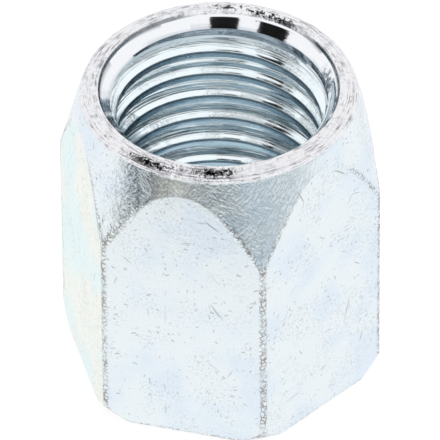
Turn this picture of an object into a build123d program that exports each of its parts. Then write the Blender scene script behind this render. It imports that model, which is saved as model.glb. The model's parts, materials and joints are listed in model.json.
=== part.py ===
from build123d import *
import os
from math import cos, radians, tan

# A tall hexagon nut made from hexagon bar, as one solid. Its upper end is turned to a taper
# that ends in a round rim, and runs out over the six flats in arches. The threaded bore goes
# right through, with a long conical mouth at the rim and a short countersink at the base.
# Sizes are in millimetres and angles in degrees. The origin lies on the axis, in the plane of
# the base, and +Z points to the tapered end. Two of the flats face -Y and +Y.

# Hexagon bar
across_flats = 30.0
height = 35.0
corner_edge_radius = 0.4

# Thread: the bore is left at the size that it is tapped from
thread_diameter = 24.0
thread_pitch = 3.0

# Mouth of the bore at the rim: a cone that leads up from the thread to a short straight land
mouth_margin = 0.35
mouth_half_angle = 30.0
mouth_land = 0.4
mouth_edge_radius = 0.15

# Countersink at the base
countersink_margin = 0.6
countersink_half_angle = 45.0

# Tapered end: the wall that is left round the mouth, and the slope below it
rim_wall = 1.95
rim_edge_radius = 0.5
taper_half_angle = 15.0

# Chamfer at the base, which takes off the foot of the six corners only
corner_cut = 1.3
corner_cut_half_angle = 30.0
base_edge_radius = 0.4

# The turned outline stands this far outside the corners of the bar
turning_clearance = 1.0

os.makedirs("parts", exist_ok=True)


def cone_height(radius_change, half_angle):
    # Length along the axis in which a cone changes its radius by this much
    return radius_change / tan(radians(half_angle))


bore_radius = (thread_diameter - thread_pitch) / 2
mouth_radius = thread_diameter / 2 + mouth_margin
countersink_radius = thread_diameter / 2 + countersink_margin
rim_radius = mouth_radius + rim_wall
flat_distance = across_flats / 2
corner_distance = flat_distance / cos(radians(30))
base_radius = corner_distance - corner_cut
blank_radius = corner_distance + turning_clearance

mouth_top = height - mouth_land
mouth_foot = mouth_top - cone_height(mouth_radius - bore_radius, mouth_half_angle)
countersink_top = cone_height(countersink_radius - bore_radius, countersink_half_angle)
taper_foot = height - cone_height(blank_radius - rim_radius, taper_half_angle)
corner_cut_top = cone_height(blank_radius - base_radius, corner_cut_half_angle)

with BuildPart() as nut:
    # Length of hexagon bar with its six long corners eased
    with BuildSketch():
        RegularPolygon(flat_distance, 6, major_radius=False)
        fillet(vertices(), corner_edge_radius)
    extrude(amount=height)

    # Half of the turned section, from the countersink outwards and back down the bore
    with BuildSketch(Plane.XZ):
        with BuildLine():
            Polyline(
                (countersink_radius, 0),
                (base_radius, 0),
                (blank_radius, corner_cut_top),
                (blank_radius, taper_foot),
                (rim_radius, height),
                (mouth_radius, height),
                (mouth_radius, mouth_top),
                (bore_radius, mouth_foot),
                (bore_radius, countersink_top),
                close=True,
            )
        make_face()
        fillet(vertices().group_by(Axis.Y)[-1].sort_by(Axis.X)[-1], rim_edge_radius)
        fillet(vertices().group_by(Axis.Y)[-1].sort_by(Axis.X)[0], mouth_edge_radius)
        fillet(vertices().group_by(Axis.Y)[0].sort_by(Axis.X)[-1], base_edge_radius)

    # Turning keeps only what the bar and the turned section share
    revolve(axis=Axis.Z, mode=Mode.INTERSECT)

nut.part.label = "nut"
export_step(nut.part, "parts/nut.step")

print("wall of the bore runs from", round(countersink_top, 3), "to", round(mouth_foot, 3), "mm")
print("volume", round(nut.part.volume, 1), "mm3")
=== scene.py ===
import json
import math
import random
from functools import partial
import bpy
from mathutils import Matrix, Vector, kdtree, noise


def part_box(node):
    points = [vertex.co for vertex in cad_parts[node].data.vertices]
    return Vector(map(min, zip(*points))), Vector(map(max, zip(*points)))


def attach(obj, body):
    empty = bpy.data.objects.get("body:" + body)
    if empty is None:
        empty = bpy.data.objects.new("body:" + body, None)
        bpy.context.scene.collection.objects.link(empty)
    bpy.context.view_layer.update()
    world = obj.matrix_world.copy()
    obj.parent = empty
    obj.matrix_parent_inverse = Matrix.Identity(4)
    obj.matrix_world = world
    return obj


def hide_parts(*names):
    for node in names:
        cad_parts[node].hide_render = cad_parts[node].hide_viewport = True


# A tall hexagon nut of zinc-plated steel, with one end tapered to a round rim.
# Lengths in the dictionaries are millimetres and angles are degrees, unless a note says so.
# Bearings are counted round the nut from +X, anticlockwise as seen from above.

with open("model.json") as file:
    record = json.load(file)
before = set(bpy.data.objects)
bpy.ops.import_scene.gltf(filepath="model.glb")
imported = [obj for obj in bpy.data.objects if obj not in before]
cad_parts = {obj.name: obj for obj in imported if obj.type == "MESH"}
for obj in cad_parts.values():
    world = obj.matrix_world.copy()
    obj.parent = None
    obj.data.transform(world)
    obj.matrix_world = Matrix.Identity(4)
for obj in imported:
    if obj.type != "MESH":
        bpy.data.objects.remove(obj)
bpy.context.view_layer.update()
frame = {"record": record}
mm = 0.001

lowCorner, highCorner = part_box("nut")
threadMount = next(m for m in frame["record"]["mounts"] if m["name"] == "thread")
boreRadius = threadMount["dims"]["r_mm"]  # the plain bore that the thread is tapped from
nutHeight = (highCorner.z - lowCorner.z) / mm
flatDistance = (highCorner.y - lowCorner.y) / mm / 2  # from the axis to a flat
cornerReach = (highCorner.x - lowCorner.x) / mm / 2  # from the axis to an eased corner
print("frame loaded: nut", round(nutHeight, 2), "high,", round(2 * flatDistance, 2), "across flats")


def hexToLinear(code):
    values = [int(code[i:i + 2], 16) / 255 for i in (1, 3, 5)]
    return [v / 12.92 if v <= 0.04045 else ((v + 0.055) / 1.055) ** 2.4 for v in values] + [1.0]


def addNode(tree, kind, inputs=None, **settings):
    # adds a node with its settings, and sets or links its inputs
    node = tree.nodes.new("ShaderNode" + kind)
    for name, value in settings.items():
        setattr(node, name, value)
    for key, value in (inputs or {}).items():
        if isinstance(value, bpy.types.Node):
            # a node given as an input links its first live output
            value = next(output for output in value.outputs if output.enabled)
        if isinstance(value, bpy.types.NodeSocket):
            tree.links.new(value, node.inputs[key])
        else:
            node.inputs[key].default_value = value
    return node


# settings that many nodes share
eased = {"interpolation_type": "SMOOTHSTEP"}
times = {"operation": "MULTIPLY"}
larger = {"operation": "MAXIMUM"}
tone = {"data_type": "RGBA"}
plainWhite = hexToLinear("#FFFFFF")


def newMaterial(name):
    material = bpy.data.materials.new(name)
    material.use_nodes = True
    tree = material.node_tree
    tree.nodes.clear()
    return material, tree, partial(addNode, tree)


def smoothStep(low, high, value):
    t = min(max((value - low) / (high - low), 0.0), 1.0)
    return t * t * (3 - 2 * t)


def nearBearing(angle, bearing, halfWidth, soft):
    # 1 where an angle, in radians, is within the half width of a bearing; it eases to 0 over the soft degrees
    turned = (math.degrees(angle) - bearing + 180) % 360 - 180
    return 1 - smoothStep(halfWidth, halfWidth + soft, abs(turned))


nutShape = {
    "baseCircleRadius": 16.0,
    "cornerCutHalfAngle": 30.0,
    "cornerCutLeast": 0.16,  # what the corner cut still takes off where the base circle clears the hexagon
    "rimRadius": 14.3,
    "taperHalfAngle": 15.0,
    "mouthRadius": 12.35,
    "mouthHalfAngle": 45.0,
    "mouthLand": 0.4,  # straight wall between the rim's inner edge and the mouth's cone
    "mouthLip": 0.2,  # how far below that wall the cone's lip may reach
    "reliefRadius": 11.3,  # a short straight wall at the foot of the mouth
    "reliefHeight": 32.4,
    "reliefRunOut": 1.2,  # radius lost for each millimetre below the relief
    "countersinkRadius": 12.6,
    "countersinkHalfAngle": 45.0,
    "cornerEase": 0.4,
    "baseEase": 0.35,
    "archEase": 1.6,
    "rollEase": 1.2,
    "rimOuterEase": 0.5,
    "stepEase": 0.12,
    "rimTopEase": 2.0,
    "rimInnerEase": 0.1,
    "landEase": 0.1,
    "countersinkEase": 0.25,
    "rolledFrom": 0.85,  # how far below the top the rim's rolled edge leaves the taper
    "beatenFrom": 0.5,  # the same where the edge is beaten down
    "stepped": (-80.0, 40.0, 22.0),  # where it is: bearing, half width and how softly it fades
    "bevelled": (-111.0, 13.0, 7.0),
    "tornInside": (90.0, 22.0, 20.0),
}

rimEdges = {
    # corners of the outer edge, as how far in from the rim's radius and how far down from the top
    "rolled": ((0.02, 0.3), (0.2, 0.16), (0.42, 0.07)),
    "stepped": ((0.2, 0.44), (0.7, 0.6), (1.27, 0.02)),
    "bevelled": ((0.06, 0.58), (0.7, 0.04), (1.2, 0.01)),
    # corners of the inner edge, as how far out from the mouth's radius and how far down from the top
    "inner": ((0.55, 0.0), (0.16, 0.03)),
    "innerTorn": ((0.85, 0.0), (0.58, 0.06)),
    # the same at the straight wall's foot, counted down from that foot
    "foot": ((0.0, 0.0), (-0.01, 0.01)),
    "footTorn": ((0.1, 0.06), (-0.16, 0.16)),
}

thread = {
    "pitch": 3.0,
    "rootRadius": 12.12,
    "overDrill": 0.15,  # the drilled hole runs this much larger than the tapping size
    "crestWidth": 0.9,
    "flankAngle": 30.0,
    "upperEase": 0.08,
    "lowerEase": 0.15,
    "rootEase": 0.3,
    "crestAngle": 105.18,  # where round the bore a crest passes through crestHeight
    "crestHeight": 33.6,
}

meshing = {
    "columnsPerSide": 45,
    "cornerSteps": (0.0, 0.3, 0.62, 1.0, 1.5, 2.3),  # how far the columns near a corner are from it
    "flatRows": 90,
    "taperRows": 34,
    "spareTurns": 1,
    "leastGap": 0.02,
    "sharpAngle": 34,  # faces that turn by more than this meet in a sharp edge
    "unrollRadius": 15.5,
    "mergeWithin": 0.03,  # bore rows nearer than this to the outer skin's ends become those ends
}

# each eased corner of the outer profile, with its arc's steps and the rows on the straight run to the next
profileSteps = (
    ("countersinkEase", 3, 3), ("baseEase", 3, 1), ("baseEase", 4, meshing["flatRows"]),
    ("archEase", 5, meshing["taperRows"]), ("rollEase", 2, 1), ("rimOuterEase", 3, 2), ("stepEase", 3, 2),
    ("stepEase", 3, 1), ("rimTopEase", 2, 2), ("rimInnerEase", 3, 2), ("landEase", 2, 2), ("landEase", 2, 1),
)

# what a point lies on: a place in what boreRadii gives, the outside, or the line where two surfaces meet
onCone, onRelief, onOutside, onMeeting = 1, 3, 4, -1
# a face's material
outerSkin, mouthSkin, threadSkin = 0, 1, 2


def columnAngles():
    # angles crowd round the six eased corners, and are even between them
    near = sorted({-a for a in meshing["cornerSteps"]} | set(meshing["cornerSteps"]))
    evenCount = meshing["columnsPerSide"] - len(near)
    reach = near[-1]
    step = (60 - 2 * reach) / (evenCount + 1)
    side = near + [reach + step * (k + 1) for k in range(evenCount)]
    return [math.radians((60 * corner + a) % 360) for corner in range(6) for a in side]


def hexRadius(angle):
    # distance from the axis to the eased hexagon, corners at 0, 60, 120 ... degrees
    fromCorner = (math.degrees(angle) + 30) % 60 - 30
    easing = nutShape["cornerEase"]
    centre = cornerReach - easing
    turn = math.radians(fromCorner)
    fromFlat = math.radians(30 - abs(fromCorner))
    onFlat = flatDistance / math.cos(fromFlat)
    inside = easing ** 2 - (centre * math.sin(turn)) ** 2
    # the corner's arc meets the flat half the centre's distance along it
    if inside > 0 and flatDistance * math.tan(fromFlat) > centre / 2:
        return min(onFlat, centre * math.cos(turn) + math.sqrt(inside))
    return onFlat


def arcAt(before, corner, after, radius, steps):
    # points of an arc that rounds a corner of a polyline in the (radius, height) plane
    a, p, b = Vector(before), Vector(corner), Vector(after)
    toA, toB = (a - p).normalized(), (b - p).normalized()
    half = toA.angle(toB) / 2
    # an arc takes less than half of each of the runs that it joins
    reach = min(radius / math.tan(half), 0.48 * (a - p).length, 0.48 * (b - p).length)
    size = reach * math.tan(half)
    centre = p + (toA + toB).normalized() * (size / math.sin(half))
    start, end = p + toA * reach - centre, p + toB * reach - centre
    sweep = start.angle_signed(end) if size > 1e-9 else 0.0
    points = []
    for k in range(steps + 1):
        turn = -sweep * k / steps
        c, s = math.cos(turn), math.sin(turn)
        points.append(centre + Vector((start.x * c - start.y * s, start.x * s + start.y * c)))
    return points


def easedLine(corners, steps):
    # rounds each inner corner of a line; steps holds a radius, an arc's steps and the rows after it for each
    points = []
    rows = 1
    for k, (radius, arcSteps, rowsAfter) in enumerate(steps):
        arc = arcAt(corners[k], corners[k + 1], corners[k + 2], radius, arcSteps)
        if points:
            last = points[-1]
            points += [last.lerp(arc[0], i / rows) for i in range(1, rows)]
        points += arc
        rows = rowsAfter
    return points


def tanOf(name):
    return math.tan(math.radians(nutShape[name]))


def archHeight(reach):
    return nutHeight - (reach - nutShape["rimRadius"]) / tanOf("taperHalfAngle")


def outerEdge(angle):
    # the rim's outer edge is rolled over, but on one side it is beaten down into a step and torn into a bevel
    rim = nutShape["rimRadius"]

    def edgeFrom(drop, name):
        start = (rim + drop * tanOf("taperHalfAngle"), nutHeight - drop)
        return [Vector(start)] + [Vector((rim - inward, nutHeight - down)) for inward, down in rimEdges[name]]

    edge = edgeFrom(nutShape["rolledFrom"], "rolled")
    for name in ("stepped", "bevelled"):
        share = nearBearing(angle, *nutShape[name])
        edge = [a.lerp(b, share) for a, b in zip(edge, edgeFrom(nutShape["beatenFrom"], name))]
    return edge


def innerEdge(angle):
    # from the rim's top to the foot of the mouth's straight wall, whole or torn
    share = nearBearing(angle, *nutShape["tornInside"])
    edge = []
    for name, top in (("inner", nutHeight), ("foot", nutHeight - nutShape["mouthLand"])):
        for whole, torn in zip(rimEdges[name], rimEdges[name + "Torn"]):
            out, down = Vector(whole).lerp(Vector(torn), share)
            edge.append((nutShape["mouthRadius"] + out, top - down))
    return edge


def outerProfile(angle):
    # from the countersink's lip, out over the base, up the side, over the rim and into the mouth
    reach = hexRadius(angle)
    baseOut = min(nutShape["baseCircleRadius"], reach - nutShape["cornerCutLeast"])
    sink, mouth, lip = nutShape["countersinkRadius"], nutShape["mouthRadius"], nutShape["mouthLip"]
    # the first and the last corner lie on the countersink and on the mouth's cone, and steer the end arcs
    corners = [
        (sink - tanOf("countersinkHalfAngle"), 1.0),
        (sink, 0.0),
        (baseOut, 0.0),
        (reach, (reach - baseOut) / tanOf("cornerCutHalfAngle")),
        (reach, archHeight(reach)),
        *outerEdge(angle),
        *innerEdge(angle),
        (mouth - lip * tanOf("mouthHalfAngle"), nutHeight - nutShape["mouthLand"] - lip),
    ]
    return easedLine(corners, [(nutShape[ease], arcSteps, rows) for ease, arcSteps, rows in profileSteps])


def threadSection():
    # one turn of the tapped form as (offset down from the middle of a root, radius), root to root
    pitch, root = thread["pitch"], thread["rootRadius"]
    crest = boreRadius + thread["overDrill"]
    flankHeight = (root - crest) * math.tan(math.radians(thread["flankAngle"]))
    rootHalf = (pitch - thread["crestWidth"]) / 2 - flankHeight
    corners = [
        (root, rootHalf),
        (root, -rootHalf),
        (crest, -rootHalf - flankHeight),
        (crest, rootHalf + flankHeight - pitch),
        (root, rootHalf - pitch),
        (root, -rootHalf - pitch),
    ]
    steps = [(thread["rootEase"], 1, 3), (thread["upperEase"], 1, 2), (thread["lowerEase"], 3, 1),
             (thread["rootEase"], 1, 1)]
    gap = meshing["leastGap"]
    section = [(-p.y, p.x) for p in easedLine(corners, steps)]
    return [(0.0, root)] + [pair for pair in section if gap < pair[0] < pitch - gap]


def boreRadii(z, tapped):
    # how far out each surface of the bore lies at a height: thread, cone, countersink and relief
    land = nutHeight - nutShape["mouthLand"]
    under = max(nutShape["reliefHeight"] - z, 0.0)
    return (tapped,
            nutShape["mouthRadius"] - (land - z) * tanOf("mouthHalfAngle"),
            nutShape["countersinkRadius"] - z * tanOf("countersinkHalfAngle"),
            nutShape["reliefRadius"] - nutShape["reliefRunOut"] * under)


def boreColumn(angle, section, topHeight, bottomHeight):
    # rows of radius, height, surface, tapped radius and turn down the bore; the widest surface shows
    pitch = thread["pitch"]
    start = thread["crestHeight"] + pitch / 2 - pitch * thread["crestAngle"] / 360
    start += pitch * (math.ceil((topHeight - start) / pitch) + meshing["spareTurns"])
    turns = math.ceil((start - bottomHeight) / pitch) + meshing["spareTurns"] + 1
    start += pitch * angle / (2 * math.pi)
    rows = []
    for turn in range(turns):
        for offset, tapped in section:
            z = start - pitch * turn - offset
            radii = boreRadii(z, tapped)
            rows.append([max(radii), z, radii.index(max(radii)), tapped, turn])
    shown = [row[2] for row in rows]
    for k in range(len(rows) - 1):
        # where two surfaces meet between rows, the nearer row moves to the meeting point
        upper, lower, first, second = rows[k], rows[k + 1], shown[k], shown[k + 1]
        if first == second or upper[2] == onMeeting:
            continue
        above, below = boreRadii(upper[1], upper[3]), boreRadii(lower[1], lower[3])
        gapAbove, gapBelow = above[first] - above[second], below[first] - below[second]
        share = gapAbove / (gapAbove - gapBelow)
        moved = upper if share < 0.5 else lower
        moved[0] = above[first] + (below[first] - above[first]) * share
        moved[1] = upper[1] + (lower[1] - upper[1]) * share
        moved[2] = onMeeting
    return rows


def splitFace(corners, surfaceOf):
    # a face crossed by the line where two surfaces meet is split along it, and a collapsed face is dropped
    ring = tuple(dict.fromkeys(corners))
    met = [surfaceOf[v] == onMeeting for v in ring]
    if len(ring) == 4 and met.count(True) == 2 and met[0] == met[2]:
        first, second, third, fourth = ring if met[0] else ring[1:] + ring[:1]
        return [(first, second, third), (first, third, fourth)]
    return [ring] if len(ring) > 2 else []


def buildNut():
    angles = columnAngles()
    profiles = [outerProfile(a) for a in angles]
    rows, columns = len(profiles[0]), len(angles)
    middle = nutHeight / 2
    inMouth = [p.x < nutShape["mouthRadius"] + 0.1 and middle < p.y < nutHeight - nutShape["mouthLand"] + 0.1
               for p in profiles[0]]
    mouthRow = inMouth.index(True)
    verts, faces, skins = [], [], []
    for a, profile in zip(angles, profiles):
        verts += [Vector((p.x * math.cos(a), p.x * math.sin(a), p.y)) for p in profile]
    surfaceOf = [onOutside] * len(verts)
    for c in range(columns):
        n = (c + 1) % columns
        for r in range(rows - 1):
            faces.append((c * rows + r, n * rows + r, n * rows + r + 1, c * rows + r + 1))
            skins.append(mouthSkin if r >= mouthRow else outerSkin)

    section = threadSection()
    topHeight, bottomHeight = profiles[0][-1].y, profiles[0][0].y
    # lead is the way along the section from a root's middle, and run the way round the helix
    lead, run = [0.0] * len(verts), [0.0] * len(verts)
    reach = [0.0]
    for (z0, r0), (z1, r1) in zip(section, section[1:]):
        reach.append(reach[-1] + math.hypot(z1 - z0, r1 - r0))
    grid = []
    for c, a in enumerate(angles):
        column = []
        for k, (radius, z, surface, _, turn) in enumerate(boreColumn(a, section, topHeight, bottomHeight)):
            if z > profiles[c][-1].y - meshing["mergeWithin"]:
                column.append(c * rows + rows - 1)
            elif z < bottomHeight + meshing["mergeWithin"]:
                column.append(c * rows)
            else:
                column.append(len(verts))
                verts.append(Vector((radius * math.cos(a), radius * math.sin(a), z)))
                surfaceOf.append(surface)
                lead.append(reach[k % len(section)])
                run.append(boreRadius * (a - 2 * math.pi * turn))
        grid.append(column)
    for c in range(columns):
        n = (c + 1) % columns
        # past the last angle the helix has come down by one turn
        shift = len(section) if angles[n] < angles[c] else 0
        for r in range(shift, len(grid[c]) - 1):
            corners = (grid[c][r], grid[n][r - shift], grid[n][r + 1 - shift], grid[c][r + 1])
            for face in splitFace(corners, surfaceOf):
                smooth = all(surfaceOf[v] in (onCone, onRelief, onMeeting, onOutside) for v in face)
                faces.append(face)
                skins.append(mouthSkin if smooth and verts[face[0]].z > middle else threadSkin)
    return angles, rows, verts, faces, skins, lead, run


# how far along the section, from a root's middle, the crest begins
flankTurn = math.radians(thread["flankAngle"])
crestRise = (thread["rootRadius"] - boreRadius - thread["overDrill"]) / math.cos(flankTurn)
crestLead = crestRise + (thread["pitch"] - thread["crestWidth"]) / 2 - crestRise * math.sin(flankTurn)
angles, outerRows, nutVerts, nutFaces, nutSkins, threadLead, threadRun = buildNut()
outerCount = len(angles) * outerRows
print("nut laid out:", len(nutVerts), "points,", len(nutFaces), "faces")

wear = {
    "seed": 24,
    "dentCount": 190,
    "dentRadius": (0.28, 0.85),
    "dentDepth": (0.012, 0.045),
    "waviness": 0.02,
    "edgeNick": 0.085,
    "lipPitting": 0.03,
    "cornerWear": 0.38,  # how wide the worn line is along a corner, and along an arch
    "archWear": 0.55,
    "frayedWear": 0.9,
    # where things are round the nut: bearing, half width and how softly it fades
    "film": (210.0, 29.0, 2.0),  # the flat whose clear film is thick enough to show cream and cyan
    "frayedArch": (-119.0, 5.0, 5.0),
    "tornOutside": (-92.0, 45.0, 25.0),
    "scuffs": ((-78.0, 7.0, 5.0), (-104.0, 10.0, 6.0)),
    "boldShadeLines": ((20.0, 54.0, 16.0), (168.0, 50.0, 14.0)),  # where the painted shade line in the step inside the rim is widest
    "mouthDent": (27.0, 5.7296, 5.7296),
    "mouthDentDepth": 0.16,
    # torn pits in the rim have a radius too; their hollows are painted near-black, as painted shade
    "rimPits": ((98.0, 8.0, 6.0, 13.2), (80.0, 8.0, 6.0, 12.98), (-77.0, 6.0, 4.0, 13.3),
                (-103.0, 7.0, 5.0, 13.65)),
    "rimPitReach": 0.5,
}


def outerMarks(point, angle):
    # how far a point of the outer skin is lip or taper, and how near it is to an edge that wears
    fromCorner = abs((math.degrees(angle) + 30) % 60 - 30)
    toCorner = cornerReach * math.sin(math.radians(fromCorner))
    arch = archHeight(hexRadius(angle))
    over = point.z - arch
    lip = smoothStep(nutHeight - 0.85, nutHeight - 0.6, point.z)
    below = 0.25 + 0.7 * (1 - smoothStep(8, 20, fromCorner))
    taper = smoothStep(-below, 0.25, over) * (1 - lip)
    corner = math.exp(-(toCorner / wear["cornerWear"]) ** 2) * (1 - smoothStep(-0.4, 0.3, over))
    # an arch is worn near its ends, and smooth at its top
    archEdge = 0.8 * math.exp(-(over / wear["archWear"]) ** 2) * (1 - smoothStep(5, 25.385, fromCorner))
    frayed = math.exp(-(over / wear["frayedWear"]) ** 2) * nearBearing(angle, *wear["frayedArch"])
    foot = 0.7 * math.exp(-((point.z - 0.15) / 0.25) ** 2)
    return lip, taper, max(corner, (1 - lip) * max(archEdge, frayed), foot)


def inwardAt(index):
    # into the metal, square to the outer skin
    r = index % outerRows
    if r == 0 or r == outerRows - 1:
        return Vector((0, 0, 0))
    along = nutVerts[index + 1] - nutVerts[index - 1]
    angle = math.atan2(nutVerts[index].y, nutVerts[index].x)
    outward = Vector((math.cos(angle), math.sin(angle), 0))
    slope = Vector((along.dot(outward), along.z)).normalized()
    return Vector((-slope.y * outward.x, -slope.y * outward.y, slope.x))


def markOuterSkin(marks):
    # keeps how worn each outer point is, and gives how far waves, nicks and pits move it inward
    mouth = nutShape["mouthRadius"]
    moves = [0.0] * outerCount
    for index in range(outerCount):
        point = nutVerts[index]
        angle, radius = math.atan2(point.y, point.x), math.hypot(point.x, point.y)
        lip, taper, edge = outerMarks(point, angle)
        marks["edge"][index], marks["lip"][index], marks["taper"][index] = edge, lip, taper
        inside = 1 - smoothStep(mouth + 0.5, mouth + 0.7, radius)
        inside *= nearBearing(angle, *nutShape["tornInside"])
        outside = smoothStep(mouth + 0.25, mouth + 0.55, radius)
        outside *= nearBearing(angle, *wear["tornOutside"])
        onRim = smoothStep(nutHeight - 0.8, nutHeight - 0.5, point.z)
        marks["torn"][index] = onRim * max(inside, outside)
        # the rim's torn pits, which the skin paints near-black as painted shade
        marks["pits"][index] = lip * max(
            nearBearing(angle, *where) * max(1 - abs(radius - ring) / wear["rimPitReach"], 0.0)
            for *where, ring in wear["rimPits"])
        scuffed = max(nearBearing(angle, *where) for where in wear["scuffs"])
        outOfMouth = smoothStep(mouth + 0.45, mouth + 0.7, radius)
        marks["scuff"][index] = scuffed * outOfMouth * smoothStep(nutHeight - 0.62, nutHeight - 0.5, point.z)
        marks["film"][index] = nearBearing(angle, *wear["film"]) * (1 - max(lip, taper))
        # points in the step at the rim's inner edge get a dark line of painted shade, widest at the bold
        # bearings
        if radius < mouth + 0.2 and point.z > nutHeight / 2:
            bold = max(nearBearing(angle, *where) for where in wear["boldShadeLines"])
            foot = nutHeight - 0.16 - bold * (nutShape["mouthLand"] - 0.14)
            marks["step"][index] = smoothStep(foot - 0.06, foot + 0.04, point.z) * (
                1 - smoothStep(nutHeight - 0.05, nutHeight - 0.02, point.z))
            continue
        if point.z < 0.02 or radius < mouth + 0.65:
            continue
        wave = 0.5 + 0.5 * noise.noise(point * 0.16)
        nick = max(noise.noise(point * 1.7 + Vector((7, 1, 3))) + 0.15, 0.0)
        nick += 0.6 * max(noise.noise(point * 3.1) - 0.05, 0.0)
        pit = 0.5 + 0.5 * noise.noise(point * 2.3 + Vector((2, 9, 4)))
        moves[index] = wear["waviness"] * wave * (1 - lip) + wear["edgeNick"] * nick * edge
        moves[index] += wear["lipPitting"] * pit * lip
    return moves


def dentOuterSkin(moves):
    # shallow oval dents, where nuts have knocked together in the barrel
    dice = random.Random(wear["seed"])
    tree = kdtree.KDTree(outerCount)
    for index in range(outerCount):
        tree.insert(nutVerts[index], index)
    tree.balance()
    for _ in range(wear["dentCount"]):
        angle, height = dice.uniform(0, 2 * math.pi), dice.uniform(0.6, nutHeight - 1.5)
        onTaper = nutShape["rimRadius"] + (nutHeight - height) * tanOf("taperHalfAngle")
        reach = min(hexRadius(angle), onTaper)
        size = dice.uniform(*wear["dentRadius"])
        depth = dice.uniform(*wear["dentDepth"])
        stretch = dice.uniform(0.35, 1.0)
        turn = dice.uniform(0, math.pi)
        centre = Vector((reach * math.cos(angle), reach * math.sin(angle), height))
        side = Vector((-math.sin(angle), math.cos(angle), 0))
        for found, index, _ in tree.find_range(centre, size):
            offset = found - centre
            u = offset.dot(side) * math.cos(turn) + offset.z * math.sin(turn)
            v = offset.z * math.cos(turn) - offset.dot(side) * math.sin(turn)
            away = math.hypot(u, v / stretch) / size
            if away < 1:
                moves[index] += depth * (1 - away * away) ** 2


def bruiseMouth(marks):
    # one bruise in the mouth, where the wall is crumpled
    for index, point in enumerate(nutVerts):
        angle, radius = math.atan2(point.y, point.x), math.hypot(point.x, point.y)
        depth = nutHeight - point.z
        if not boreRadius + 0.2 <= radius <= nutShape["mouthRadius"] or not 0.5 <= depth <= 4:
            continue
        relief = nutShape["reliefRadius"]
        # the relief wall at the mouth's foot gets painted shade
        marks["grooveShade"][index] = 1 - smoothStep(relief - 0.02, relief + 0.08, radius)
        near = nearBearing(angle, *wear["mouthDent"])
        near *= smoothStep(0.5, 0.8, depth) * (1 - smoothStep(1.6, 2.4, depth))
        if near > 0:
            marks["dent"][index] = near
            crumple = noise.noise(point * 1.5) + 0.6 * noise.noise(point * 3.3)
            shift = wear["mouthDentDepth"] * near * crumple / radius
            nutVerts[index] = Vector((point.x * (1 + shift), point.y * (1 + shift), point.z))


def wearSkin():
    names = ("edge", "lip", "taper", "torn", "dent", "step", "film", "grooveShade", "scuff", "pits")
    marks = {name: [0.0] * len(nutVerts) for name in names}
    moves = markOuterSkin(marks)
    dentOuterSkin(moves)
    inward = [inwardAt(index) for index in range(outerCount)]
    for index in range(outerCount):
        nutVerts[index] = nutVerts[index] + inward[index] * moves[index]
    bruiseMouth(marks)
    return marks


def meshNut(marks):
    mesh = bpy.data.meshes.new("nut_body")
    mesh.from_pydata([v * mm for v in nutVerts], [], nutFaces)
    mesh.validate()
    mesh.update()
    for polygon, skin in zip(mesh.polygons, nutSkins):
        polygon.material_index = skin
        polygon.use_smooth = True
    mesh.set_sharp_from_angle(angle=math.radians(meshing["sharpAngle"]))
    for name, values in dict(marks, lead=threadLead, run=threadRun).items():
        layer = mesh.attributes.new(name, "FLOAT", "POINT")
        layer.data.foreach_set("value", values)
    # the skin laid out flat in millimetres: round the nut, up its side and inward over the rim
    layout = mesh.uv_layers.new(name="unrolled")
    for polygon in mesh.polygons:
        middle = polygon.center
        about = math.atan2(middle.y, middle.x)
        for loop in polygon.loop_indices:
            point = mesh.vertices[mesh.loops[loop].vertex_index].co
            turn = (math.atan2(point.y, point.x) - about + math.pi) % (2 * math.pi) - math.pi
            inward = max(nutShape["rimRadius"] - math.hypot(point.x, point.y) / mm, 0.0)
            layout.data[loop].uv = ((about + turn) * meshing["unrollRadius"], point.z / mm + inward)
    return mesh


nutMesh = meshNut(wearSkin())
nut = bpy.data.objects.new("nut_body", nutMesh)
bpy.context.scene.collection.objects.link(nut)
print("nut meshed:", len(nutMesh.vertices), "vertices,", len(nutMesh.polygons), "faces")

stageSize = {
    "floorRadius": 3000.0,
    "floorSides": 96,
    "floorDrop": 0.02,  # the sheet lies this far under the nut
    "frontBearing": -74.8,  # from the nut toward the camera
    "sheetFront": 56.0,  # where the white sheet ends in front of the nut, as bright metal sees it
    "sheetSoft": 10.0,
    "sheetLeft": 92.0,
    "sheetColour": "#F4F4F4",
    "sheetLight": 1.1,
    "lightShare": 0.78,  # how much of the sheet's look is light that no shadow darkens
    "tableEnd": (300.0, 650.0),  # the dim table fades into the bright room between these distances
    "boreFloor": "#F2F7FA",  # the sheet inside the bore, where less light gets to it
    "boreEnd": (12.4, 13.2),
    "softAcross": 1.5,  # how softly dark things end to the sides, and above and below
    "softUpright": 1.4,
}

# the table beyond the sheet, by bearing from the camera's side
tableTones = {-72: "#FFFFFF", -68: "#5D6364", -48: "#686D6F", -38: "#B8B4AA", -24: "#B3AFA6", -11: "#858C8E",
              8: "#9DA4A6", 22: "#BCC4C8", 50: "#C4CCD0", 78: "#DDE1E4"}

# dark things round the set, as bearing from +X, elevation, half width and half height in degrees, and level
darkThings = {
    "camera": (-81.8, 48.0, 15.8, 9.0, 0.01),
    "stand": (-133.5, 42.0, 15.2, 14.0, 0.01),
    "flag": (-151.0, 49.0, 11.0, 7.0, 0.05),
}


def bearingFrom(tree, direction, bearing):
    # how far a direction is turned from a bearing, in radians, positive anticlockwise
    turned = addNode(tree, "VectorRotate", {"Vector": direction, "Angle": math.radians(-bearing)},
                     rotation_type="Z_AXIS")
    parts = addNode(tree, "SeparateXYZ", {0: turned})
    return addNode(tree, "Math", {0: parts.outputs["Y"], 1: parts.outputs["X"]}, operation="ARCTAN2")


def withinAngle(tree, off, halfWidth, soft):
    # 1 where an angle lies within the half width of zero, fading to 0 over the soft degrees
    away = addNode(tree, "Math", {0: off}, operation="ABSOLUTE")
    low, high = math.radians(halfWidth - soft / 2), math.radians(halfWidth + soft / 2)
    return addNode(tree, "MapRange", {0: away, 1: low, 2: high, 3: 1.0, 4: 0.0}, **eased)


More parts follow.
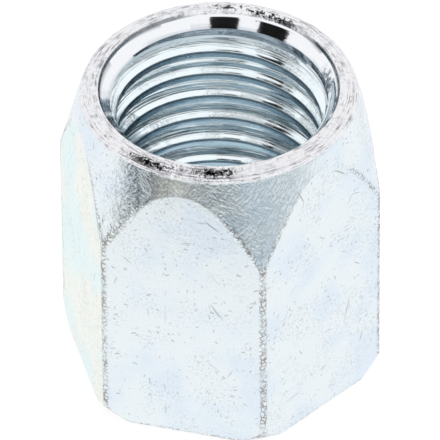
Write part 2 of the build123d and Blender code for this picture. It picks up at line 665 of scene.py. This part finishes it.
def addFloor():
    # Matt paper, lit until it is plain white. Bright metal sees it end, and the dimmer table beyond it.
    mesh = bpy.data.meshes.new("floor")
    radius = stageSize["floorRadius"] * mm
    turns = [2 * math.pi * k / stageSize["floorSides"] for k in range(stageSize["floorSides"])]
    ring = [(radius * math.cos(t), radius * math.sin(t), -stageSize["floorDrop"] * mm) for t in turns]
    mesh.from_pydata(ring, [], [tuple(range(len(ring)))])
    floor = bpy.data.objects.new("floor", mesh)
    bpy.context.scene.collection.objects.link(floor)
    material, tree, add = newMaterial("matt white paper")
    place = add("TexCoord").outputs["Object"]
    front = math.radians(stageSize["frontBearing"])
    soft = stageSize["sheetSoft"] / 2
    distances, ends = [], []
    for turn, edge in ((front, stageSize["sheetFront"]), (front - math.pi / 2, stageSize["sheetLeft"])):
        toward = (math.cos(turn), math.sin(turn), 0.0)
        distance = add("VectorMath", {0: place, 1: toward}, operation="DOT_PRODUCT")
        distances.append(distance)
        ends.append(add("MapRange", {0: distance, 1: (edge - soft) * mm, 2: (edge + soft) * mm}, **eased))
    beyond = add("Math", {0: ends[0], 1: ends[1]}, **larger)
    turned = bearingFrom(tree, place, stageSize["frontBearing"])
    table = add("ValToRGB", {0: add("MapRange", {0: turned, 1: -math.pi / 2, 2: math.pi / 2})})
    stops = table.color_ramp.elements
    while len(stops) < len(tableTones):
        stops.new(0.5)
    for stop, (bearing, code) in zip(stops, tableTones.items()):
        stop.position = (bearing + 90) / 180
        stop.color = hexToLinear(code)
    nearest, farthest = stageSize["tableEnd"]
    near = add("MapRange", {0: distances[0], 1: nearest * mm, 2: farthest * mm, 3: 1.0, 4: 0.0}, **eased)
    onTable = add("Math", {0: beyond, 1: near}, **times)
    mirrored = add("Mix", {"Factor": onTable, "A": plainWhite, "B": table}, **tone)
    reach = add("VectorMath", {0: place}, operation="LENGTH")
    low, high = stageSize["boreEnd"]
    inBore = add("MapRange", {0: reach, 1: low * mm, 2: high * mm, 3: 1.0, 4: 0.0}, **eased)
    mirrored = add("Mix", {"Factor": inBore, "A": mirrored, "B": hexToLinear(stageSize["boreFloor"])}, **tone)
    paper = add("BsdfDiffuse", {"Color": hexToLinear(stageSize["sheetColour"])})
    white = add("Emission", {"Color": plainWhite, "Strength": stageSize["sheetLight"]})
    seen = add("MixShader", {0: stageSize["lightShare"], 1: paper, 2: white})
    inMetal = add("LightPath").outputs["Is Glossy Ray"]
    surface = add("MixShader", {0: inMetal, 1: seen, 2: add("Emission", {"Color": mirrored})})
    add("OutputMaterial", {"Surface": surface})
    mesh.materials.append(material)


def addWorld():
    # an even white room that metal sees dark things in, and the camera does not
    world = bpy.data.worlds.new("studio")
    world.use_nodes = True
    tree = world.node_tree
    tree.nodes.clear()
    add = partial(addNode, tree)
    direction = add("TexCoord").outputs["Generated"]
    rise = add("Math", {0: add("SeparateXYZ", {0: direction}).outputs["Z"]}, operation="ARCSINE")
    level = 1.0
    for bearing, elevation, halfWidth, halfHeight, darkness in darkThings.values():
        off = bearingFrom(tree, direction, bearing)
        across = withinAngle(tree, off, halfWidth, stageSize["softAcross"])
        off = add("Math", {0: rise, 1: math.radians(elevation)}, operation="SUBTRACT")
        upright = withinAngle(tree, off, halfHeight, stageSize["softUpright"])
        inside = add("Math", {0: across, 1: upright}, **times)
        shade = add("MapRange", {0: inside, 3: 1.0, 4: darkness}, **eased)
        level = add("Math", {0: level, 1: shade}, **times)
    seen = add("LightPath").outputs["Is Camera Ray"]
    level = add("Mix", {"Factor": seen, "A": level, "B": 1.0}, data_type="FLOAT")
    add("OutputWorld", {"Surface": add("Background", {"Color": plainWhite, "Strength": level})})
    bpy.context.scene.world = world


view = {
    "azimuth": 15.18,
    "elevation": 40.73,
    "roll": -0.466,
    "distance": 1039.2,
    "aimHeight": 16.454,
    "rise": 0.331,
    "lens": 812.5,
    "sensorWidth": 36,
    "farthest": 20,  # metres
}


def addCamera():
    a, e, roll = (math.radians(view[k]) for k in ("azimuth", "elevation", "roll"))
    forward = Vector((-math.sin(a) * math.cos(e), math.cos(a) * math.cos(e), -math.sin(e)))
    right = Vector((math.cos(a), math.sin(a), 0))
    up = right.cross(forward)
    right, up = right * math.cos(roll) + up * math.sin(roll), up * math.cos(roll) - right * math.sin(roll)
    place = Vector((0, 0, view["aimHeight"])) - forward * view["distance"] + up * view["rise"]
    turn = Matrix((right, up, -forward)).transposed()
    data = bpy.data.cameras.new("camera")
    data.lens = view["lens"]
    data.sensor_width = view["sensorWidth"]
    data.clip_end = view["farthest"]
    camera = bpy.data.objects.new("camera", data)
    camera.matrix_world = Matrix.Translation(place * mm) @ turn.to_4x4()
    bpy.context.scene.collection.objects.link(camera)
    bpy.context.scene.camera = camera


addFloor()
addWorld()
addCamera()
bpy.context.scene.view_settings.view_transform = "Standard"
print("floor, world and camera set")

zinc = {
    "bright": "#ECF4F8",
    "blue": "#E3EEF8",
    "mottle": "#C6D0D6",
    "cream": "#F1F5EE",
    "cyan": "#E3F5F6",
    "rim": "#F2F2F5",
    "rimGrain": "#77757D",
    # painted shade in the rim's torn pits, at the front also a painted dark reflection
    "pits": "#1E2326",
    "dirt": "#7B756F",
    "rust": "#8C7760",
    # painted shade, in the step at the rim's inner edge
    "shade": "#55626C",
    "mouth": "#F4F6FA",
    "thread": "#F1FBFF",
    "threadLine": "#93999B",
    # painted dark reflection along the crest's edge
    "crestShade": "#4B6576",
    # painted reflection: the blue-grey that the crest's land mirrors from the shaded bore
    "land": "#B2C8D5",
    "bruise": "#4C6672",
    "grooveShade": "#8399A8",  # painted shade in the first groove, and on the relief wall at the mouth's foot
}
tints = {name: hexToLinear(code) for name, code in zinc.items()}

# noises over the nut: cells to a millimetre, detail and roughness
noiseInputs = ("Vector", "Scale", "Detail", "Roughness")
skinNoises = {
    "film": (1 / 6.0, 2.0, 0.5),
    "mottle": (1 / 0.3, 3.0, 0.62),
    "mottled": (0.22, 2.0, 0.5),  # where the mottle is, and where the nicks are
    "nicked": (0.42, 2.0, 0.5),
    "specks": (1 / 0.3, 3.0, 0.65),
    "uneven": (0.9, 2.0, 0.5),
    "rimTear": (1 / 0.3, 2.0, 0.6),
    "rimGrit": (1 / 0.45, 4.0, 0.55),
    "slants": (0.35, 1.0, 0.5),
    "tumble": (1 / 0.55, 3.0, 0.55),
}
mouthNoises = {"crumple": (1.6, 3.0, 0.6), "ripple": (0.9, 2.0, 0.5)}
threadNoises = {"tears": (4.0, 3.0, 0.65), "torn": (0.25, 2.0, 0.5)}

grain = {
    "pitSpacing": 1.9,  # sizes in mm
    "pitRadius": 0.12,
    # marks: the cell each lies in, its length and width, how many cells have one, and how bowed it is
    "scratches": (3.4, 0.9, 0.075, 0.45, 0.5),
    "nicks": (0.8, 0.34, 0.075, 0.7, 0.9),
    "gouges": (6.2, 2.2, 0.11, 0.5, 0.25),
    "strokeLength": 0.75,
    "strokeWidth": 0.27,
    "strokeSlants": (35.0, -50.0),
    "turningLength": 2.6,  # fine lines round the rim
    "turningWidth": 0.2,
    "bead": 0.5,
    "reamLine": 0.12,
    "tapLine": 0.42,  # the tap's lines are finer than this, and drawn as coarse as they need to show
    "tapLineDrift": 0.045,  # how far the lines change for each millimetre along the helix
}

cutDepth = {
    # how deep each pattern is cut, in mm
    "tumble": 0.03,
    "marks": 0.04,
    "crinkle": 0.048,
    "rimGrit": 0.01,
    "rimTear": 0.026,
    "beads": 0.12,
    "reamLines": 0.003,
    "ripple": 0.012,
    "bruise": 0.16,
    "tapLines": 0.085,
    "tapTears": 0.05,
}

roughness = {
    "flats": 0.27,
    "taperAndRim": 0.12,
    "worn": 0.5,
    "mouth": 0.07,
}

# a painted dark reflection along the crest: mm past the crest's start, and how far from the line's middle it
# fades
crestShade = {"at": 0.2, "fades": (0.1, 0.24)}
grooveShadeHeight = (31.3, 32.3)  # painted shade darkens the first groove above these heights on the nut

# bands of the thread's section: from and to, in mm past the crest's start, and the value before and after
threadBands = {
    "flankLines": (-0.75, -0.5, 1.0, 0.12),
    "landStart": (0.2, 0.42, 0.0, 1.0),
    "landEnd": (0.85, 1.0, 1.0, 0.0),
    "rootShade": (-1.6, -0.7, 0.65, 0.0),
    "roughness": (-0.8, -0.45, 0.15, 0.12),
}


def placeInMm(tree, shift):
    # position on the nut in millimetres
    place = addNode(tree, "TexCoord").outputs["Object"]
    return addNode(tree, "VectorMath", {0: place, 1: (1 / mm,) * 3, 2: shift}, operation="MULTIPLY_ADD")


def scratchMarks(tree, cell, length, width, share, bow):
    # short marks at random angles, one to a cell of the unrolled skin; share is how many cells have one
    add = partial(addNode, tree)
    flat = add("UVMap", uv_map="unrolled")
    scaled = add("VectorMath", {0: flat, 1: (1 / cell,) * 3}, **times)
    cells = add("TexVoronoi", {"Vector": scaled, "Scale": 1.0}, voronoi_dimensions="2D")
    chance = add("SeparateColor", {0: cells.outputs["Color"]})
    local = add("VectorMath", {0: scaled, 1: cells.outputs["Position"]}, operation="SUBTRACT")
    turn = add("Math", {0: chance.outputs[0], 1: 2 * math.pi}, **times)
    turned = add("VectorRotate", {"Vector": local, "Angle": turn}, rotation_type="Z_AXIS")
    parts = add("SeparateXYZ", {0: turned})
    square = add("Math", {0: parts.outputs["X"], 1: 2.0}, operation="POWER")
    bent = add("Math", {0: square, 1: bow, 2: parts.outputs["Y"]}, operation="MULTIPLY_ADD")
    across = add("Math", {0: bent}, operation="ABSOLUTE")
    # a mark narrows toward its ends
    across = add("Math", {0: square, 1: 0.12 * cell / length, 2: across}, operation="MULTIPLY_ADD")
    long = add("MapRange", {0: chance.outputs[2], 3: 0.4 * length / cell, 4: length / cell})
    along = add("Math", {0: parts.outputs["X"]}, operation="ABSOLUTE")
    along = add("Math", {0: along, 1: long}, operation="DIVIDE")
    thin = add("MapRange", {0: across, 1: width / cell * 0.3, 2: width / cell * 1.3, 3: 1.0, 4: 0.0}, **eased)
    short = add("MapRange", {0: along, 1: 0.6, 2: 1.0, 3: 1.0, 4: 0.0}, **eased)
    chosen = add("MapRange", {0: chance.outputs[1], 1: 1 - share, 2: 1.0, 3: 0.0, 4: 1.0})
    chosen = add("Math", {0: chosen, 1: 0.5}, operation="POWER")
    return add("Math", {0: add("Math", {0: thin, 1: short}, **times), 1: chosen}, **times)


def addMetal(add, colour, rough, height):
    # bare metal, whose skin stands up by a height in mm
    bump = add("Bump", {"Strength": 1.0, "Distance": mm, "Height": height})
    bsdf = add("BsdfPrincipled", {"Base Color": colour, "Metallic": 1.0, "Roughness": rough, "Normal": bump})
    add("OutputMaterial", {"Surface": bsdf})


def skinMaterial():
    # Zinc plate over a cold-drawn hexagon, tumbled in bulk: near-white, faintly blue and cream, with small
    # dark marks where nuts knocked together. The taper and the rim are crinkled, and break reflections up.
    # painted shade darkens the step at the rim's inner edge and the rim's torn pits
    material, tree, add = newMaterial("zinc-plated steel, drawn and tumbled")
    place = placeInMm(tree, (3.1, 5.7, 2.4))
    flat = add("UVMap", uv_map="unrolled")
    names = ("edge", "lip", "taper", "torn", "film", "step", "scuff", "pits")
    edge, lip, taper, torn, film, step, scuff, pitShade = (
        add("Attribute", attribute_name=name).outputs["Fac"] for name in names)

    noises = {name: add("TexNoise", dict(zip(noiseInputs, (place, *values))))
              for name, values in skinNoises.items()}

    # tints of the clear film over the zinc
    wide = add("MapRange", {0: noises["film"], 1: 0.45, 2: 0.66}, **eased)
    colour = add("Mix", {"Factor": wide, "A": tints["bright"], "B": tints["blue"]}, **tone)
    broad = add("TexNoise", {"Vector": placeInMm(tree, (0, 17, 9)), "Scale": 0.12, "Detail": 1.0})
    broad = add("MapRange", {0: broad, 1: 0.42, 2: 0.58}, **eased)
    thick = add("Mix", {"Factor": broad, "A": tints["cream"], "B": tints["cyan"]}, **tone)
    colour = add("Mix", {"Factor": film, "A": colour, "B": thick}, **tone)
    fine = add("MapRange", {0: noises["mottle"], 1: 0.5, 2: 0.72, 3: 0.0, 4: 0.8})
    patchy = add("MapRange", {0: noises["mottled"], 1: 0.44, 2: 0.6, 3: 0.1, 4: 1.0}, **eased)
    mottle = add("Math", {0: fine, 1: patchy}, **times)

    # small marks: pits, scratches, nicks that come in clumps, and a few gouges
    pits = add("TexVoronoi", {"Vector": place, "Scale": 1 / grain["pitSpacing"]})
    size = grain["pitRadius"] / grain["pitSpacing"]
    pit = add("MapRange", {0: pits, 1: size * 0.4, 2: size * 1.3, 3: 1.0, 4: 0.0}, **eased)
    pitChance = add("SeparateColor", {0: pits.outputs["Color"]})
    pit = add("Math", {0: pit, 1: add("MapRange", {0: pitChance, 1: 0.65, 2: 1.0})}, **times)
    clumps = add("MapRange", {0: noises["nicked"], 1: 0.48, 2: 0.6, 3: 0.15, 4: 1.0}, **eased)
    nicks = add("Math", {0: scratchMarks(tree, *grain["nicks"]), 1: clumps}, **times)
    marks = scratchMarks(tree, *grain["scratches"])
    for kind in (nicks, pit, scratchMarks(tree, *grain["gouges"])):
        marks = add("Math", {0: marks, 1: kind}, **larger)
    marks = add("Math", {0: marks, 1: add("MapRange", {0: lip, 3: 0.5, 4: 0.0})}, **times)

    # beads and specks along the worn edges
    specks = add("MapRange", {0: noises["specks"], 1: 0.6, 2: 0.7, 3: 0.0, 4: 0.75}, **eased)
    beads = add("TexVoronoi", {"Vector": place, "Scale": 1 / grain["bead"]}, feature="DISTANCE_TO_EDGE")
    outline = add("MapRange", {0: beads, 1: 0.03, 2: 0.2, 3: 0.66, 4: 0.0}, **eased)
    share = add("MapRange", {0: noises["uneven"], 1: 0.38, 2: 0.62, 3: 0.25, 4: 1.0})
    outline = add("Math", {0: outline, 1: share}, **times)
    worn = add("Math", {0: outline, 1: specks}, **larger)
    worn = add("Math", {0: worn, 1: add("MapRange", {0: edge, 1: 0.12, 2: 0.65}, **eased)}, **times)
    dirt = add("Math", {0: marks, 1: worn}, **larger)
    rusty = add("Math", {0: worn, 1: 0.5}, **times)

    # grain of the turned rim, and where it is torn
    gritty = add("MapRange", {0: noises["rimGrit"], 1: 0.52, 2: 0.68, 3: 0.0, 4: 0.6})
    lineScale = (1 / grain["turningLength"], 1 / grain["turningWidth"], 1)
    turned = add("VectorMath", {0: flat, 1: lineScale}, **times)
    turning = add("TexNoise", {"Vector": turned, "Scale": 1.0, "Detail": 3.0, "Roughness": 0.6},
                  noise_dimensions="2D")
    turning = add("MapRange", {0: turning, 1: 0.47, 2: 0.64, 3: 0.0, 4: 0.9})
    rimGrain = add("Math", {0: gritty, 1: turning}, **larger)
    rimGrain = add("Math", {0: rimGrain, 1: lip}, **times)
    share = add("MapRange", {0: noises["uneven"], 1: 0.4, 2: 0.62, 3: 0.15, 4: 0.9})
    rimGrain = add("Math", {0: rimGrain, 1: share}, **times)
    jagged = add("MapRange", {0: noises["rimTear"], 1: 0.5, 2: 0.56}, **eased)
    scuffed = add("Math", {0: jagged, 1: add("Math", {0: scuff, 1: 0.55}, **times)}, **times)
    rimGrain = add("Math", {0: scuffed, 1: rimGrain}, **larger)

    # painted shade: the dark line in the step at the rim's inner edge, and the near-black of the torn pits
    stepShade = add("Math", {0: step, 1: 0.7}, **times)
    pitShade = add("MapRange", {0: pitShade, 1: 0.25, 2: 0.5})
    tornPits = add("MapRange", {0: noises["rimTear"], 1: 0.52, 2: 0.56})
    pitShade = add("Math", {0: pitShade, 1: tornPits}, **times)
    layers = ((lip, "rim"), (mottle, "mottle"), (dirt, "dirt"), (rusty, "rust"), (rimGrain, "rimGrain"),
              (stepShade, "shade"), (pitShade, "pits"))
    for factor, name in layers:
        colour = add("Mix", {"Factor": factor, "A": colour, "B": tints[name]}, **tone)

    # the taper's skin is crinkled in short strokes that lie two ways
    strokes = []
    strokeScale = (1 / grain["strokeLength"], 1 / grain["strokeWidth"], 1)
    for slant in grain["strokeSlants"]:
        laid = add("VectorRotate", {"Vector": flat, "Angle": math.radians(slant)}, rotation_type="Z_AXIS")
        laid = add("VectorMath", {0: laid, 1: strokeScale}, **times)
        strokes.append(add("TexNoise", {"Vector": laid, "Scale": 1.0, "Detail": 3.0, "Roughness": 0.6,
                                        "Distortion": 0.5}, noise_dimensions="2D"))
    either = add("MapRange", {0: noises["slants"], 1: 0.42, 2: 0.58}, **eased)
    crinkle = add("Mix", {"Factor": either, "A": strokes[0].outputs[0], "B": strokes[1].outputs[0]},
                  data_type="FLOAT")
    height = add("Math", {0: noises["tumble"], 1: cutDepth["tumble"]}, **times)
    patterns = ((crinkle, "crinkle", taper), (noises["rimGrit"], "rimGrit", lip),
                (noises["rimTear"], "rimTear", torn), (beads, "beads", edge))
    for pattern, name, where in patterns:
        deep = add("Math", {0: pattern, 1: cutDepth[name]}, **times)
        height = add("Math", {0: deep, 1: where, 2: height}, operation="MULTIPLY_ADD")
    height = add("Math", {0: marks, 1: -cutDepth["marks"], 2: height}, operation="MULTIPLY_ADD")
    onEnd = add("Math", {0: taper, 1: lip}, **larger)
    rough = add("MapRange", {0: onEnd, 3: roughness["flats"], 4: roughness["taperAndRim"]})
    rough = add("MapRange", {0: dirt, 3: rough, 4: roughness["worn"]})
    addMetal(add, colour, rough, height)
    return material


def mouthMaterial():
    # Plated over a reamed cone: smooth enough to mirror, with a trace of the reamer round it and one bruise.
    material, tree, add = newMaterial("zinc-plated steel, reamed bright")
    place = placeInMm(tree, (8.3, 1.9, 6.6))
    names = ("dent", "step", "grooveShade")
    dent, step, grooveShade = (add("Attribute", attribute_name=name).outputs["Fac"] for name in names)
    rise = add("Math", {0: add("SeparateXYZ", {0: place}).outputs["Z"], 1: 1 / grain["reamLine"]}, **times)
    rings = add("TexNoise", {"W": rise, "Scale": 1.0, "Detail": 2.0}, noise_dimensions="1D")
    noises = {name: add("TexNoise", dict(zip(noiseInputs, (place, *values))))
              for name, values in mouthNoises.items()}
    height = add("Math", {0: rings, 1: cutDepth["reamLines"]}, **times)
    height = add("Math", {0: noises["ripple"], 1: cutDepth["ripple"], 2: height}, operation="MULTIPLY_ADD")
    bruised = add("Math", {0: noises["crumple"], 1: cutDepth["bruise"]}, **times)
    height = add("Math", {0: bruised, 1: dent, 2: height}, operation="MULTIPLY_ADD")
    # painted shade in the step under the rim
    stepShade = add("Math", {0: step, 1: 0.85}, **times)
    blotch = add("MapRange", {0: noises["crumple"], 1: 0.42, 2: 0.56, 3: 0.0, 4: 0.8}, **eased)
    blotch = add("Math", {0: blotch, 1: dent}, **times)
    # painted shade on the relief wall, streaked along the reamer's lines
    streakedShade = add("MapRange", {0: rings, 1: 0.3, 2: 0.7, 3: 0.15, 4: 0.75})
    streakedShade = add("Math", {0: streakedShade, 1: grooveShade}, **times)
    colour = tints["mouth"]
    for factor, name in ((stepShade, "shade"), (blotch, "bruise"), (streakedShade, "grooveShade")):
        colour = add("Mix", {"Factor": factor, "A": colour, "B": tints[name]}, **tone)
    addMetal(add, colour, roughness["mouth"], height)
    return material


def threadMaterial():
    # Plated over a tapped thread: fine lines left by the tap run along the helix, and crests are smoother.
    # painted shade and painted reflection darken the crest's edge, the land and the first groove
    material, tree, add = newMaterial("zinc-plated steel, tapped")
    shift = (1.7, 9.2, 4.4)
    place = placeInMm(tree, shift)
    lead, run = (add("Attribute", attribute_name=name).outputs["Fac"] for name in ("lead", "run"))
    bands = {}
    for name, (low, high, before, after) in threadBands.items():
        ends = {1: crestLead + low, 2: crestLead + high, 3: before, 4: after}
        bands[name] = add("MapRange", {0: lead, **ends}, **eased)

    # lines along the flanks
    across = add("Math", {0: lead, 1: 1 / grain["tapLine"]}, **times)
    along = add("Math", {0: run, 1: grain["tapLineDrift"]}, **times)
    flow = add("CombineXYZ", {0: across, 1: along})
    lines = add("TexNoise", {"Vector": flow, "Scale": 1.0, "Detail": 2.0, "Roughness": 0.6},
                noise_dimensions="2D")
    thin = add("Math", {0: add("Math", {0: lines, 1: 0.5}, operation="SUBTRACT")}, operation="ABSOLUTE")
    thin = add("MapRange", {0: thin, 1: 0.006, 2: 0.03, 3: 0.75, 4: 0.0}, **eased)
    thin = add("Math", {0: thin, 1: bands["flankLines"]}, **times)

    # a painted dark reflection at the crest's edge, and a blue-grey painted reflection on its land
    off = add("Math", {0: lead, 1: crestLead + crestShade["at"]}, operation="SUBTRACT")
    off = add("Math", {0: off}, operation="ABSOLUTE")
    low, high = crestShade["fades"]
    crestShadeMask = add("MapRange", {0: off, 1: low, 2: high, 3: 0.7, 4: 0.0}, **eased)
    # the land's blue-grey painted reflection
    landShade = add("Math", {0: bands["landStart"], 1: bands["landEnd"]}, **times)

    # painted shade in the first groove
    rise = add("SeparateXYZ", {0: place}).outputs["Z"]
    low, high = grooveShadeHeight
    atMouth = add("MapRange", {0: rise, 1: low + shift[2], 2: high + shift[2]}, **eased)
    grooveShaded = add("Math", {0: atMouth, 1: bands["rootShade"]}, **times)
    colour = tints["thread"]
    for factor, name in ((thin, "threadLine"), (crestShadeMask, "crestShade"), (landShade, "land"), (grooveShaded, "grooveShade")):
        colour = add("Mix", {"Factor": factor, "A": colour, "B": tints[name]}, **tone)

    noises = {name: add("TexNoise", dict(zip(noiseInputs, (place, *values))))
              for name, values in threadNoises.items()}
    torn = add("Math", {0: noises["tears"], 1: cutDepth["tapTears"]}, **times)
    where = add("MapRange", {0: noises["torn"], 1: 0.45, 2: 0.6}, **eased)
    height = add("Math", {0: lines, 1: cutDepth["tapLines"]}, **times)
    height = add("Math", {0: height, 1: bands["flankLines"]}, **times)
    height = add("Math", {0: torn, 1: where, 2: height}, operation="MULTIPLY_ADD")
    addMetal(add, colour, bands["roughness"], height)
    return material


for material in (skinMaterial(), mouthMaterial(), threadMaterial()):
    nutMesh.materials.append(material)
print("materials made")

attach(nut, "root")
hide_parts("nut")
